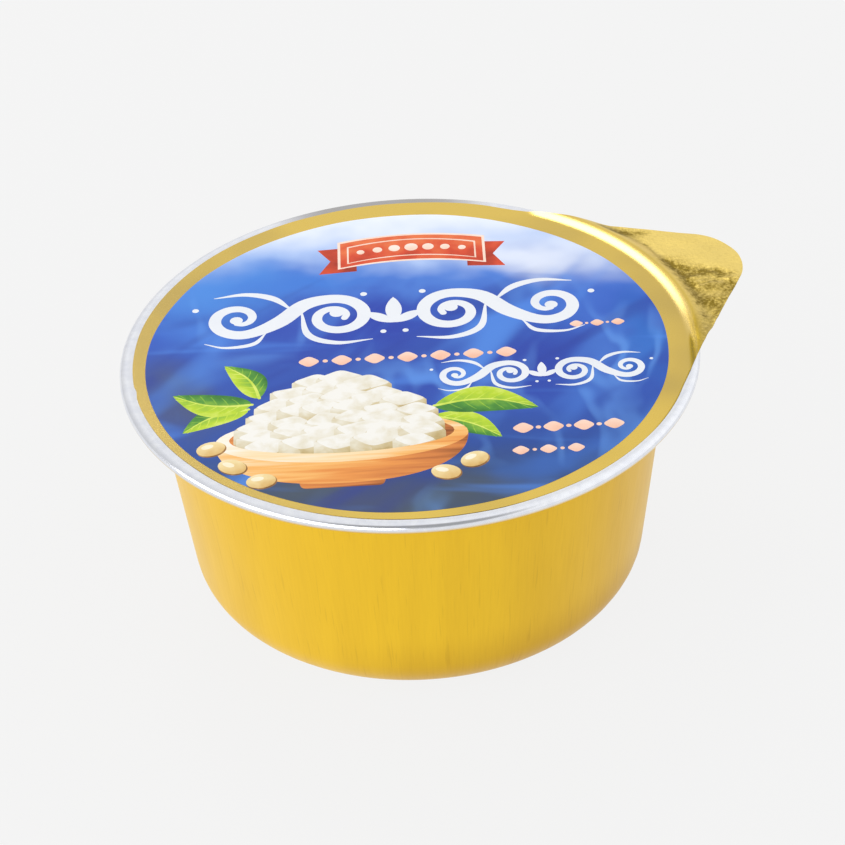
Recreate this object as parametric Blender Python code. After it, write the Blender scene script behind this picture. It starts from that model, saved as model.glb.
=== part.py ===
"""Sealed round foil tub: a drawn aluminium cup with its filling, shut by a foil lid with a pull tab.

Metres, +Z up. The origin is the centre of the flat base, the front is -Y, and the tab points right and back.
"""

import math

import bmesh
import bpy
from mathutils import Vector

# Driving dimensions
RIM_RADIUS = 0.0415  # outside of the curled rim
LID_HEIGHT = 0.0372  # top of the lid where it lies on the flange
BASE_RADIUS = 0.0324  # where the line of the tapered wall would meet the base plane
WALL_TAPER = math.radians(7.3)
CORNER_RADIUS = 0.0070  # between base and wall
CURL_RADIUS = 0.00083  # section of the rolled rim
FLANGE_THICKNESS = 0.00035
NECK_RADIUS = 0.0010  # fillet under the flange
GAP = 0.0003  # clearance between the lid and the cup

# Ring pressed into the base
PRESS_INNER, PRESS_OUTER, PRESS_DEPTH, PRESS_SLOPE = 0.0195, 0.0225, 0.0004, 0.0005

# Lid
LID_RADIUS = 0.03965
LID_THICKNESS = 0.0003
LID_OFFSET = 0.00025  # the lid is sealed slightly off centre
TAB_AZIMUTH = math.radians(25.1)  # from +X towards +Y
TAB_REACH = 0.0536  # tip of the tab from the lid's centre
TAB_TIP_RADIUS = 0.0092
FLANK_HOLLOW = 0.0003  # how far the tab's front flank curves in
HUMP_START = 0.0389  # where the foil leaves the flange to pass over the curled rim
HUMP_HEIGHT = 0.00064
TAB_DROP = 0.0009  # how far the tab falls below the rim's crest line
TAB_FALL_END = 0.0440
TAB_LIFT = 0.0005  # how far the tip curls up again
HUMP_ONSET = 0.0002  # overhang of the outline at which the hump is at full height

# Finish colours, linear RGB
GOLD_LACQUER = (0.75, 0.46, 0.05)
GOLD_FOIL = (0.62, 0.45, 0.14)

# Facets
TURN_STEPS = 96
CURL_STEPS = 18
CORNER_STEPS = 7
NECK_STEPS = 3
LID_STEPS = 64
TIP_STEPS = 12
FLANK_STEPS = 11
INNER_RINGS = (0.0190, 0.0330, HUMP_START)
OUTER_RINGS = 11
RING_CROWDING = 1.35  # above 1, the outer rings lie closer together near the flange
SMOOTH_ANGLE = math.radians(40)


def clear_scene():
    for old in list(bpy.data.objects):
        bpy.data.objects.remove(old)


def finish_of(name, colour, metallic, roughness):
    """Principled material with the colour, metallic value and roughness of a sub-part."""
    material = bpy.data.materials.new(name)
    material.use_nodes = True
    shader = material.node_tree.nodes["Principled BSDF"]
    shader.inputs["Base Color"].default_value = (*colour, 1.0)
    shader.inputs["Metallic"].default_value = metallic
    shader.inputs["Roughness"].default_value = roughness
    return material


def add_object(name, solid, material):
    """Links the closed solid as a named object with smooth round faces."""
    bmesh.ops.recalc_face_normals(solid, faces=solid.faces)
    mesh = bpy.data.meshes.new(name)
    solid.to_mesh(mesh)
    solid.free()
    mesh.shade_smooth()
    mesh.set_sharp_from_angle(angle=SMOOTH_ANGLE)
    mesh.materials.append(material)
    part = bpy.data.objects.new(name, mesh)
    bpy.context.scene.collection.objects.link(part)
    return part


def arc(centre, radius, start, end, steps):
    """Points of a circular arc in a (radius, height) section, both ends included."""
    angles = (start + (end - start) * i / steps for i in range(steps + 1))
    return [(centre[0] + radius * math.cos(a), centre[1] + radius * math.sin(a)) for a in angles]


def wall_radius(height):
    return BASE_RADIUS + math.tan(WALL_TAPER) * height


def base_section():
    """From the axis out along the base, over the pressed ring."""
    return [
        (0.0, 0.0),
        (PRESS_INNER, 0.0),
        (PRESS_INNER + PRESS_SLOPE, PRESS_DEPTH),
        (PRESS_OUTER - PRESS_SLOPE, PRESS_DEPTH),
        (PRESS_OUTER, 0.0),
    ]


def corner_section():
    """Round corner that meets the base plane and the tapered wall tangentially."""
    centre = (wall_radius(CORNER_RADIUS) - CORNER_RADIUS / math.cos(WALL_TAPER), CORNER_RADIUS)
    return arc(centre, CORNER_RADIUS, -math.pi / 2, -WALL_TAPER, CORNER_STEPS)


def neck_section(underside):
    """Hollow fillet from the wall out to the underside of the flange."""
    height = underside - NECK_RADIUS
    centre = (wall_radius(height) + NECK_RADIUS / math.cos(WALL_TAPER), height)
    return arc(centre, NECK_RADIUS, math.pi - WALL_TAPER, math.pi / 2, NECK_STEPS)


def curl_section(underside, top):
    """Rolled rim, from the flange's underside round the outside to its top."""
    centre = (RIM_RADIUS - CURL_RADIUS, LID_HEIGHT - CURL_RADIUS)
    start = math.pi - math.asin((underside - centre[1]) / CURL_RADIUS)
    end = 3 * math.pi - math.asin((top - centre[1]) / CURL_RADIUS)
    return arc(centre, CURL_RADIUS, start, end, CURL_STEPS)


def make_cup():
    """Cup and filling as one turned solid, up to the flange that the lid is sealed to."""
    top = LID_HEIGHT - LID_THICKNESS - GAP
    underside = top - FLANGE_THICKNESS
    section = base_section() + corner_section() + neck_section(underside)
    section += curl_section(underside, top) + [(0.0, top)]
    solid = bmesh.new()
    points = [solid.verts.new((r, 0.0, z)) for r, z in section]
    edges = [solid.edges.new(pair) for pair in zip(points, points[1:])]
    bmesh.ops.spin(
        solid,
        geom=points + edges,
        cent=(0.0, 0.0, 0.0),
        axis=(0.0, 0.0, 1.0),
        angle=math.tau,
        steps=TURN_STEPS,
        use_merge=True,
    )
    bmesh.ops.remove_doubles(solid, verts=solid.verts, dist=1e-6)
    gold = finish_of("gold_lacquered_aluminium", GOLD_LACQUER, 0.6, 0.4)
    return add_object("cup", solid, gold)


def lid_outline():
    """Lid circle and tab tip joined by two flanks, as (radius, angle from the tab's axis)."""
    tip_centre = TAB_REACH - TAB_TIP_RADIUS
    tangent = math.acos((LID_RADIUS - TAB_TIP_RADIUS) / tip_centre)
    body = arc((0.0, 0.0), LID_RADIUS, tangent, math.tau - tangent, LID_STEPS)
    tip = arc((tip_centre, 0.0), TAB_TIP_RADIUS, -tangent, tangent, TIP_STEPS)
    flank_in = between(body[-1], tip[0], FLANK_HOLLOW)
    flank_out = between(tip[-1], body[0], 0.0)
    return [(math.hypot(x, y), math.atan2(y, x)) for x, y in body + flank_in + tip + flank_out]


def between(start, end, hollow):
    """Points inside a flank that curves in by hollow, closer together where it passes over the rim."""
    turns = [math.pi / 2 * i / FLANK_STEPS for i in range(1, FLANK_STEPS)]
    outwards = math.hypot(*start) < math.hypot(*end)
    shares = [1 - math.cos(turn) if outwards else math.sin(turn) for turn in turns]
    run = Vector(end) - Vector(start)
    inwards = Vector((-run.y, run.x)).normalized()
    return [Vector(start) + run * share + inwards * hollow * 4 * share * (1 - share) for share in shares]


def smoothstep(value):
    value = min(1.0, max(0.0, value))
    return value * value * (3 - 2 * value)


def lid_top(radius, reach):
    """Height of the foil's top at a radius, in a direction where the outline reaches out to reach."""
    onset = min(1.0, (reach - LID_RADIUS) / HUMP_ONSET)
    crest = RIM_RADIUS - CURL_RADIUS
    rise = HUMP_HEIGHT * smoothstep((radius - HUMP_START) / (crest - HUMP_START))
    fall = (HUMP_HEIGHT + TAB_DROP) * smoothstep((radius - crest) / (TAB_FALL_END - crest))
    lift = TAB_LIFT * smoothstep((radius - TAB_FALL_END) / (TAB_REACH - TAB_FALL_END))
    return LID_HEIGHT + onset * (rise - fall + lift)


def lid_column(reach, angle):
    """Points of the foil's top from near the centre out to its edge, in one direction."""
    shares = [(i / OUTER_RINGS) ** RING_CROWDING for i in range(1, OUTER_RINGS + 1)]
    radii = [*INNER_RINGS, *(HUMP_START + (reach - HUMP_START) * share for share in shares)]
    direction = angle + TAB_AZIMUTH
    return [
        (LID_OFFSET + r * math.cos(direction), r * math.sin(direction), lid_top(r, reach)) for r in radii
    ]


def make_lid():
    """Foil disc with a pull tab that passes over the curled rim, falls behind it and lifts at the tip."""
    solid = bmesh.new()
    columns = [[solid.verts.new(p) for p in lid_column(*out)] for out in lid_outline()]
    middle = solid.verts.new((LID_OFFSET, 0.0, LID_HEIGHT))
    for here, after in zip(columns, columns[1:] + columns[:1]):
        solid.faces.new((middle, here[0], after[0]))
        for i in range(len(here) - 1):
            solid.faces.new((here[i], here[i + 1], after[i + 1], after[i]))
    under = bmesh.ops.extrude_face_region(solid, geom=solid.faces[:])
    lowered = [item for item in under["geom"] if isinstance(item, bmesh.types.BMVert)]
    bmesh.ops.translate(solid, verts=lowered, vec=(0.0, 0.0, -LID_THICKNESS))
    foil = finish_of("printed_gold_foil", GOLD_FOIL, 0.5, 0.4)
    return add_object("lid", solid, foil)


clear_scene()
make_cup()
make_lid()
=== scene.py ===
"""Looks of a sealed round foil tub: a gold-lacquered aluminium cup and a printed foil lid with a pull tab.

Run as a script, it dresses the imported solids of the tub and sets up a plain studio.
"""

import math
import random
from functools import partial

import bmesh
import bpy
from mathutils import Matrix, Vector, noise
from mathutils.geometry import delaunay_2d_cdt


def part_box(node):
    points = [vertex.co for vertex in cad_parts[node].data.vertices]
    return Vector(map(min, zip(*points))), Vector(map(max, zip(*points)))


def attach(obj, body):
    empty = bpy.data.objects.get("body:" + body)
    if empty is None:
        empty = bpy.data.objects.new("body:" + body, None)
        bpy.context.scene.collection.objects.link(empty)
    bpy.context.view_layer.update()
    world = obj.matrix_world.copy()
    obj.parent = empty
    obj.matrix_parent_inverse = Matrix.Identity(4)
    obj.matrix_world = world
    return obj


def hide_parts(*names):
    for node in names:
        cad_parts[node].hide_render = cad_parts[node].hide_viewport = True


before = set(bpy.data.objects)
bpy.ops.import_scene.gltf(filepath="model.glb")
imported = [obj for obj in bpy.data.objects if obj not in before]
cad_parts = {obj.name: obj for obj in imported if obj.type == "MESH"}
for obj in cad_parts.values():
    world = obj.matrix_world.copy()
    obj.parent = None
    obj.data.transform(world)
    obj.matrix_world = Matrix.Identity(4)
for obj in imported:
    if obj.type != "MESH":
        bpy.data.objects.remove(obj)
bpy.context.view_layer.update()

bl_info = {
    "name": "Sealed Foil Tub",
    "version": (1, 0, 0),
    "blender": (4, 5, 0),
    "location": "3D View > Sidebar > Foil Tub",
    "description": "Cup, printed foil lid and studio for a sealed round tub",
    "category": "Add Mesh",
}

MM = 0.001
BODY = "root"
CUP_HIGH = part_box("cup")[1]


def linear(hex_colour):
    """Linear RGBA of an sRGB colour written as RRGGBB."""
    channels = [int(hex_colour[i:i + 2], 16) / 255 for i in (0, 2, 4)]
    curve = (c / 12.92 if c <= 0.04045 else ((c + 0.055) / 1.055) ** 2.4 for c in channels)
    return (*curve, 1.0)


def length_property(name, description, default):
    return bpy.props.FloatProperty(
        name=name, description=description, default=default,
        min=0.0, subtype="DISTANCE", unit="LENGTH", precision=5,
    )


def angle_property(name, description, degrees):
    return bpy.props.FloatProperty(
        name=name, description=description, default=math.radians(degrees), subtype="ANGLE", unit="ROTATION",
    )


def colour_property(name, description, hex_colour):
    return bpy.props.FloatVectorProperty(
        name=name, description=description, default=linear(hex_colour),
        size=4, min=0.0, max=1.0, subtype="COLOR",
    )


class TubSizes(bpy.types.PropertyGroup):
    """Sizes of the cup and the lid."""

    rim_radius: length_property("Rim radius", "Outside of the curled rim", CUP_HIGH.x)
    height: length_property("Height", "Crest of the curled rim above the base", CUP_HIGH.z)
    base_radius: length_property("Base radius", "Where the tapered wall's line meets the base", 0.0324)
    taper: angle_property("Taper", "Wall angle from upright", 7.3)
    corner_radius: length_property("Corner radius", "Between base and wall", 0.0070)
    curl_radius: length_property("Curl radius", "Section of the rolled rim", 0.00083)
    neck_radius: length_property("Neck radius", "Fillet under the flange", 0.0012)
    foil_thickness: length_property("Foil thickness", "Lid foil", 0.00005)
    lid_radius: length_property("Lid radius", "Edge of the foil where it has no tab", 0.03985)
    lid_offset: length_property("Lid offset", "How far off centre the foil is sealed", 0.00025)
    print_radius: length_property("Print radius", "Edge of the printed field", 0.03732)
    tab_azimuth: angle_property("Tab azimuth", "Direction of the tab from +X towards +Y", 25.0)
    tab_reach: length_property("Tab reach", "Tip of the tab from the lid's centre", 0.0536)
    tab_tip_radius: length_property("Tab tip radius", "Rounding of the tab's tip", 0.00925)


class FinishColours(bpy.types.PropertyGroup):
    """Colours of the metal, the foil and the floor."""

    lacquer: colour_property("Gold lacquer", "Cup wall", "EABE23")
    bare_metal: colour_property("Bare aluminium", "Curled rim", "ECEEF3")
    foil: colour_property("Gold foil", "Lid border and tab", "DDB81F")
    floor: colour_property("Floor", "Studio floor", "F3F3F3")


# Nodes and materials


def add_node(tree, kind, inputs=None, output=0, stops=(), **settings):
    """Adds a shader node with its settings, colour stops and links, and gives back one of its outputs."""
    node = tree.nodes.new("ShaderNode" + kind)
    for name, value in settings.items():
        setattr(node, name, value)
    for i, (place, hex_colour) in enumerate(stops):
        elements = node.color_ramp.elements
        element = elements[i] if i < 2 else elements.new(place)
        element.position, element.color = place, linear(hex_colour)
    connect(tree, node, inputs or {})
    return node.outputs[output]


def connect(tree, node, inputs):
    """Links every input that is given as a socket and sets the others."""
    for name, value in inputs.items():
        if isinstance(value, bpy.types.NodeSocket):
            tree.links.new(value, node.inputs[name])
        else:
            node.inputs[name].default_value = value


def new_material(name, **constants):
    """Material, its node tree and its Principled shader, whose constants are set by label."""
    material = bpy.data.materials.new(name)
    material.use_nodes = True
    tree = material.node_tree
    shader = tree.nodes["Principled BSDF"]
    connect(tree, shader, {label.replace("_", " "): value for label, value in constants.items()})
    return material, tree, shader


def in_millimetres(tree):
    """Place on the object in millimetres."""
    place = add_node(tree, "TexCoord", output="Object")
    return add_node(tree, "VectorMath", {0: place, "Scale": 1 / MM}, operation="SCALE")


def around_axis(tree, place):
    """Direction of a place from the tub's axis, and its distance from that axis."""
    node = partial(add_node, tree)
    flat = node("VectorMath", {0: place, 1: (1.0, 1.0, 0.0)}, operation="MULTIPLY")
    direction = node("VectorMath", {0: flat}, operation="NORMALIZE")
    return direction, node("VectorMath", {0: flat}, "Value", operation="LENGTH")


def drawn_lacquer(colours):
    """Gold-lacquered aluminium, deep drawn: satin, with faint upright drawing lines and hair scratches, and
    painted shade towards the base and on the right side.
    """
    material, tree, shader = new_material(
        "gold_lacquered_drawn_aluminium",
        Metallic=0.72, Specular_IOR_Level=0.2, Coat_Weight=0.2, Coat_Roughness=0.32,
    )
    node = partial(add_node, tree)
    place = in_millimetres(tree)
    around, _ = around_axis(tree, place)

    def drawn_lines(cycles, rise, detail):
        """Noise drawn out upwards: cycles for each radius of turn, rise for each millimetre of height."""
        lift = node("VectorMath", {0: place, 1: (0.0, 0.0, rise)}, operation="MULTIPLY")
        rolled = node("VectorMath", {0: around, 1: lift}, operation="ADD")
        return node("TexNoise", {"Vector": rolled, "Scale": cycles, "Detail": detail})

    fine = drawn_lines(110.0, 0.0016, 3.0)
    broad = drawn_lines(7.0, 0.004, 2.0)
    hair = drawn_lines(130.0, 0.0014, 0.0)
    scratch = node("MapRange", {"Value": hair, "From Min": 0.70, "From Max": 0.80, "To Max": 0.14})
    faint = node("MapRange", {"Value": fine, "From Min": 0.35, "From Max": 0.75, "To Max": 0.065})
    cloud = node("MapRange", {"Value": broad, "From Min": 0.35, "From Max": 0.65, "To Max": 0.10})
    lines = node("Math", {0: scratch, 1: faint}, operation="ADD")
    shade = node("Math", {0: lines, 1: cloud}, operation="ADD")
    height = node("SeparateXYZ", {0: place}, "Z")
    # Painted shade: darker towards the base, where the floor contact's shade falls, and more so on the right
    # side.
    foot = {"Value": height, "From Min": 12.5, "From Max": 2.5, "To Max": 0.42}
    foot = node("MapRange", foot, interpolation_type="SMOOTHSTEP")
    facing = node("VectorMath", {0: around, 1: (0.8, -0.6, 0.0)}, "Value", operation="DOT_PRODUCT")
    foot_side_shade = node("MapRange", {"Value": facing, "From Min": 0.15, "From Max": 0.6})
    shade = node("Math", {0: foot, 1: foot_side_shade, 2: shade}, operation="MULTIPLY_ADD")
    # Painted shade: the side facing right is darker still.
    right_side_shade = node("MapRange", {"Value": facing, "From Min": 0.7, "From Max": 1.0, "To Max": 0.12})
    shade = node("Math", {0: shade, 1: right_side_shade}, operation="ADD")
    colour = node("Mix", {0: shade, 6: tuple(colours.lacquer), 7: linear("B08016")}, 2, data_type="RGBA")
    rough = {"Value": fine, "From Min": 0.3, "From Max": 0.7, "To Min": 0.38, "To Max": 0.44}
    rough = node("MapRange", rough)
    bump = node("Bump", {"Height": fine, "Strength": 0.25, "Distance": 0.012 * MM}, "Normal")
    connect(tree, shader, {"Base Color": colour, "Roughness": rough, "Normal": bump})
    return material


def bare_aluminium(sizes, colours):
    """Bare rolled aluminium: bright and cool, with painted shade in a stretch at the back, and a soft-edged
    painted reflection of the gold wall on the lower part of the curl."""
    material, tree, shader = new_material("bare_rolled_aluminium", Metallic=1.0)
    node = partial(add_node, tree)
    place = in_millimetres(tree)
    around, _ = around_axis(tree, place)
    height = node("SeparateXYZ", {0: place}, "Z")
    lines = node("TexNoise", {"Vector": place, "Scale": 0.8, "Detail": 2.0})
    tone = node("MapRange", {"Value": lines, "From Min": 0.35, "From Max": 0.65, "To Max": 0.5})
    metal = node("Mix", {0: tone, 6: tuple(colours.bare_metal), 7: linear("DBDEE8")}, 2, data_type="RGBA")
    # Painted shade: a darker stretch of the rim at the back.
    facing = node("VectorMath", {0: around, 1: (-0.087, 0.996, 0.0)}, "Value", operation="DOT_PRODUCT")
    back_shade = {"Value": facing, "From Min": 0.90, "From Max": 0.985, "To Max": 0.9}
    back_shade = node("MapRange", back_shade, interpolation_type="SMOOTHSTEP")
    metal = node("Mix", {0: back_shade, 6: metal, 7: linear("A8A5A4")}, 2, data_type="RGBA")
    # Painted reflection: the lower part of the curl is tinted gold, as if it mirrored the lacquered wall
    # below.
    edge = {"Value": height, "From Min": sizes.height / MM - 0.75, "From Max": sizes.height / MM - 1.35}
    lacquered = node("MapRange", edge, interpolation_type="SMOOTHSTEP")
    colour = node("Mix", {0: lacquered, 6: metal, 7: linear("E6C468")}, 2, data_type="RGBA")
    rough = {"Value": lines, "From Min": 0.3, "From Max": 0.7, "To Min": 0.16, "To Max": 0.22}
    rough = node("MapRange", rough)
    bump = node("Bump", {"Height": lines, "Strength": 0.3, "Distance": 0.015 * MM}, "Normal")
    connect(tree, shader, {"Base Color": colour, "Roughness": rough, "Normal": bump})
    return material


def gold_foil(sizes, colours):
    """Gold-lacquered lidding foil: bright metal under a clear coat, thickest on the hump over the rim. It is
    smooth where it is sealed and finely grained on the tab, whose creases are dull and brown with wear and
    painted shade."""
    material, tree, shader = new_material(
        "gold_lidding_foil", Metallic=1.0, Coat_Roughness=0.22, Coat_IOR=2.3,
    )
    node = partial(add_node, tree)
    place = in_millimetres(tree)
    around, distance = around_axis(tree, place)
    on_tab = {"Value": distance, "From Min": 40.8, "From Max": 42.5}
    on_tab = node("MapRange", on_tab, interpolation_type="SMOOTHSTEP")
    grain = node("TexNoise", {"Vector": place, "Scale": 2.2, "Detail": 2.0, "Roughness": 0.6})
    cloud = node("TexNoise", {"Vector": place, "Scale": 0.09, "Detail": 1.0})
    # Painted shade: the tarnish tone is pushed darker towards the lid's left, less on its right, and lighter
    # at its front and back, standing in for how light falls on the ring.
    across = node("VectorMath", {0: around, 1: (0.98, 0.2, 0.0)}, "Value", operation="DOT_PRODUCT")
    across = node("Math", {0: across, 1: 0.2}, operation="SUBTRACT")
    across = node("Math", {0: across}, operation="ABSOLUTE")
    ring_side_shade = {"Value": across, "From Min": 0.4, "From Max": 1.2, "To Min": -0.15, "To Max": 0.45}
    ring_side_shade = node("MapRange", ring_side_shade)
    cloud = node("Math", {0: cloud, 1: ring_side_shade}, operation="ADD")
    tarnish_and_side_shade = node("MapRange", {"Value": cloud, "From Min": 0.35, "From Max": 0.95})
    colour = node("Mix", {0: tarnish_and_side_shade, 6: tuple(colours.foil), 7: linear("BA9A14")}, 2, data_type="RGBA")
    colour = node("Mix", {0: on_tab, 6: colour, 7: linear("E2C870")}, 2, data_type="RGBA")
    # Painted shade: this attribute darkens the tab's creases and crushed part, the pinched crease and the
    # crest's front end, and paints a shadow along the cut edge; the same marks are also worn, rougher and
    # less coated.
    worn_and_shaded = node("Attribute", output="Fac", attribute_name="wear_and_shade")
    patchy = {"Value": grain, "From Min": 0.3, "From Max": 0.7, "To Min": -1.0, "To Max": 1.0}
    patchy = node("MapRange", patchy)
    patches = node("Math", {0: worn_and_shaded, 1: 0.28, 2: 0.10}, operation="MULTIPLY_ADD")
    patches = node("Math", {0: patches, 1: on_tab}, operation="MULTIPLY")
    patchy = node("Math", {0: patchy, 1: patches}, operation="MULTIPLY")
    worn_and_shaded = node("Math", {0: worn_and_shaded, 1: patchy}, operation="ADD", use_clamp=True)
    colour = node("Mix", {0: worn_and_shaded, 6: colour, 7: linear("857024")}, 2, data_type="RGBA")
    depth = node("Math", {0: on_tab, 1: 0.4, 2: 0.04}, operation="MULTIPLY_ADD")
    depth = node("Math", {0: worn_and_shaded, 1: 0.8, 2: depth}, operation="MULTIPLY_ADD")
    height = node("Math", {0: grain, 1: depth}, operation="MULTIPLY")
    bump = node("Bump", {"Height": height, "Strength": 0.7, "Distance": 0.08 * MM}, "Normal")
    level = node("SeparateXYZ", {0: place}, "Z")
    raised = {"Value": level, "From Min": sizes.height / MM + 0.01, "From Max": sizes.height / MM + 0.12}
    raised = node("MapRange", raised)
    rough = node("Math", {0: on_tab, 1: 0.21, 2: 0.17}, operation="MULTIPLY_ADD")
    rough = node("Math", {0: raised, 1: 0.08, 2: rough}, operation="MULTIPLY_ADD")
    rough = node("Math", {0: worn_and_shaded, 1: 0.2, 2: rough}, operation="MULTIPLY_ADD")
    coat = node("MapRange", {"Value": distance, "From Min": 41.6, "From Max": 41.0})
    thick = node("Math", {0: raised, 1: 0.36, 2: 0.52}, operation="MULTIPLY_ADD")
    coat = node("Math", {0: coat, 1: thick}, operation="MULTIPLY")
    coat = node("Math", {0: coat, 1: worn_and_shaded}, operation="SUBTRACT", use_clamp=True)
    connect(tree, shader, {"Base Color": colour, "Roughness": rough, "Normal": bump, "Coat Weight": coat})
    return material


# Mesh helpers


def add_piece(name, solid, materials, replaced=(), smooth_angle=math.radians(40)):
    """Links the mesh as a piece that rides on the tub."""
    mesh = bpy.data.meshes.new(name)
    solid.to_mesh(mesh)
    solid.free()
    mesh.shade_smooth()
    mesh.set_sharp_from_angle(angle=smooth_angle)
    for material in materials:
        mesh.materials.append(material)
    piece = bpy.data.objects.new(name, mesh)
    bpy.context.scene.collection.objects.link(piece)
    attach(piece, BODY)
    if replaced:
        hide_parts(*replaced)
    return piece


def arc(centre, radius, start, end, steps):
    """Points of a circular arc, both ends included."""
    angles = (start + (end - start) * i / steps for i in range(steps + 1))
    return [(centre[0] + radius * math.cos(a), centre[1] + radius * math.sin(a)) for a in angles]


def smoothstep(value):
    value = min(1.0, max(0.0, value))
    return value * value * (3 - 2 * value)


def between(start, end, share):
    return tuple(a + (b - a) * share for a, b in zip(start, end))


def close_sheet(solid, thickness):
    """Gives an open sheet a closed underside, straight down."""
    under = bmesh.ops.extrude_face_region(solid, geom=solid.faces[:], use_keep_orig=False)
    lowered = [item for item in under["geom"] if isinstance(item, bmesh.types.BMVert)]
    bmesh.ops.translate(solid, verts=lowered, vec=(0.0, 0.0, -thickness))
    bmesh.ops.recalc_face_normals(solid, faces=solid.faces)


# Cup

TURN_STEPS = 240
WALL_STEPS = 16
CORNER_STEPS = 12
NECK_STEPS = 8
CURL_STEPS = 32
PRESSED_RING = (  # shallow ring pressed into the base, as (radius, height)
    (0.0195, 0.0), (0.0198, 0.0001), (0.0201, 0.0004), (0.0219, 0.0004), (0.0222, 0.0001), (0.0225, 0.0),
)
WALL_WAVE = 0.00008  # how far the thin drawn wall strays from a true cone
WAVE_SPREAD = 2.2  # waves round the wall
WAVE_RISE = 40.0  # waves for each metre of height
FLANGE_DROP = 0.00006  # flange below the crest of the curl
FLANGE_THICKNESS = 0.0004
FLANGE_RADII = (0.0401, 0.0390)  # between the curl and the middle
WALL_LIMIT = 0.0385  # radius from which the metal is stiff and true


def cup_section(sizes):
    """Section of the cup from the middle of the base round to the middle of the flange, with a metal number
    for each point: 0 for the lacquered outside, 1 for the bare curl and flange."""
    tangent = math.tan(sizes.taper)
    wall = lambda z: sizes.base_radius + tangent * z
    corner = (wall(sizes.corner_radius) - sizes.corner_radius / math.cos(sizes.taper), sizes.corner_radius)
    top = sizes.height - FLANGE_DROP
    under = top - FLANGE_THICKNESS
    neck_z = under - sizes.neck_radius
    neck = (wall(neck_z) + sizes.neck_radius / math.cos(sizes.taper), neck_z)
    curl = (sizes.rim_radius - sizes.curl_radius, sizes.height - sizes.curl_radius)
    corner_arc = arc(corner, sizes.corner_radius, -math.pi / 2, -sizes.taper, CORNER_STEPS)
    neck_arc = arc(neck, sizes.neck_radius, math.pi - sizes.taper, math.pi / 2, NECK_STEPS)
    wall_points = [between(corner_arc[-1], neck_arc[0], i / WALL_STEPS) for i in range(1, WALL_STEPS)]
    start = math.pi - math.asin((under - curl[1]) / sizes.curl_radius)
    end = 3 * math.pi - math.asin((top - curl[1]) / sizes.curl_radius)
    lacquered = [(0.0, 0.0), *PRESSED_RING, *corner_arc, *wall_points, *neck_arc]
    bare = arc(curl, sizes.curl_radius, start, end, CURL_STEPS) + [(r, top) for r in (*FLANGE_RADII, 0.0)]
    return [(p, 0) for p in lacquered] + [(p, 1) for p in bare]


def wall_stray(angle, height, sizes):
    """Slight unevenness of the thin wall, none at the base and the rim."""
    share = math.sin(math.pi * min(1.0, max(0.0, height / sizes.height)))
    place = Vector((math.cos(angle) * WAVE_SPREAD, math.sin(angle) * WAVE_SPREAD, height * WAVE_RISE))
    return WALL_WAVE * share * noise.noise(place)


def make_cup(sizes, colours):
    """Turned mesh of the cup, with lacquered and bare metal."""
    section = cup_section(sizes)
    solid = bmesh.new()
    rings = []
    for (radius, height), _ in section:
        if radius == 0.0:
            rings.append([solid.verts.new((0.0, 0.0, height))] * TURN_STEPS)
            continue
        ring = []
        for i in range(TURN_STEPS):
            angle = math.tau * i / TURN_STEPS
            r = radius + (wall_stray(angle, height, sizes) if radius < WALL_LIMIT else 0.0)
            ring.append(solid.verts.new((r * math.cos(angle), r * math.sin(angle), height)))
        rings.append(ring)
    for low, high, (_, metal) in zip(rings, rings[1:], section[1:]):
        for i in range(TURN_STEPS):
            j = (i + 1) % TURN_STEPS
            corners = dict.fromkeys((low[i], low[j], high[j], high[i]))
            solid.faces.new(corners).material_index = metal
    materials = [drawn_lacquer(colours), bare_aluminium(sizes, colours)]
    return add_piece("drawn_cup", solid, materials, ("cup",))


# Lid

LID_STEPS = 190
TIP_STEPS = 56
FLANK_STEPS = 46
FLANK_HOLLOWS = (0.00035, 0.0005)  # how far the front and the back flank of the tab curve in
LID_RINGS = (4, 12, 20, 26, 31, 34, 35.5, 36.4, 36.9, 37.2, 37.45, 37.7, 37.95, 38.2, 38.5, 38.8)
OUTER_RINGS = 60
RING_CROWDING = 1.2  # above 1, the outer rings lie closer together near the rim
PRINT_SINK = 0.00006  # foil below the crest of the rim under the print
SINK_MARGIN = 0.2  # how far inside the print's edge the foil comes back up, in millimetres
SINK_RUN = 0.5  # over how much it does, in millimetres
HUMP_START = 0.0389
HUMP_CREST = 0.0413
HUMP_ONSET = 0.0005  # overhang of the outline at which the hump is at full height
HUMP_HEIGHT = 0.00048
VALLEY_RADIUS = 0.0438  # crease behind the rim
VALLEY_DEPTH = 0.00052  # below the crest line
VALLEY_RUN = 0.001  # out to the plateau
FALL_CURVE = 0.65  # share of the fall behind the hump that is eased, not straight
PLATEAU_RADIUS = 0.044
PLATEAU_DEPTH = 0.00049
TIP_DEPTH = 0.0004
FRONT_LOWERING = 0.8  # share of the hump that is missing at the front end of the tab
HUMP_RISE = (-0.12, 0.40)  # azimuth, in radians, where the hump starts to rise, and its run to full height
PINCH_AZIMUTHS = (math.radians(1.0), math.radians(-11.0))  # short crease where the tab folds over the rim
PINCH_RADII = (0.0400, 0.0406)
PINCH_WIDTHS = (0.00022, 0.00048)
PINCH_DEPTH = 0.00003
EDGE_AZIMUTHS = (math.radians(-38.0), math.radians(-4.0))  # where a painted shadow darkens the foil's cut edge
EDGE_FADES = (0.2, 0.05)  # over how many radians the painted shadow comes and goes
EDGE_WIDTH = 0.00022
EDGE_SHADOW = 0.6
DULL_AZIMUTHS = (0.03, 0.19)  # in radians: the crest is dull, with painted shade, before the first and bright after the second
DULL_START = (0.0401, 0.0402)  # radii where the dulling with painted shade and the crumpling of the front end start
DULL_RUN = (0.0004, 0.0008)
DULL_SHADE = (0.5, 0.6)
CRUMPLE_START = 0.0415
CRUMPLE_RUN = 0.0012
FOLD_START = Vector((43.0, 3.4))  # fold across the tab, in millimetres along and across its axis
FOLD_END = Vector((49.6, -4.2))
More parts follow.
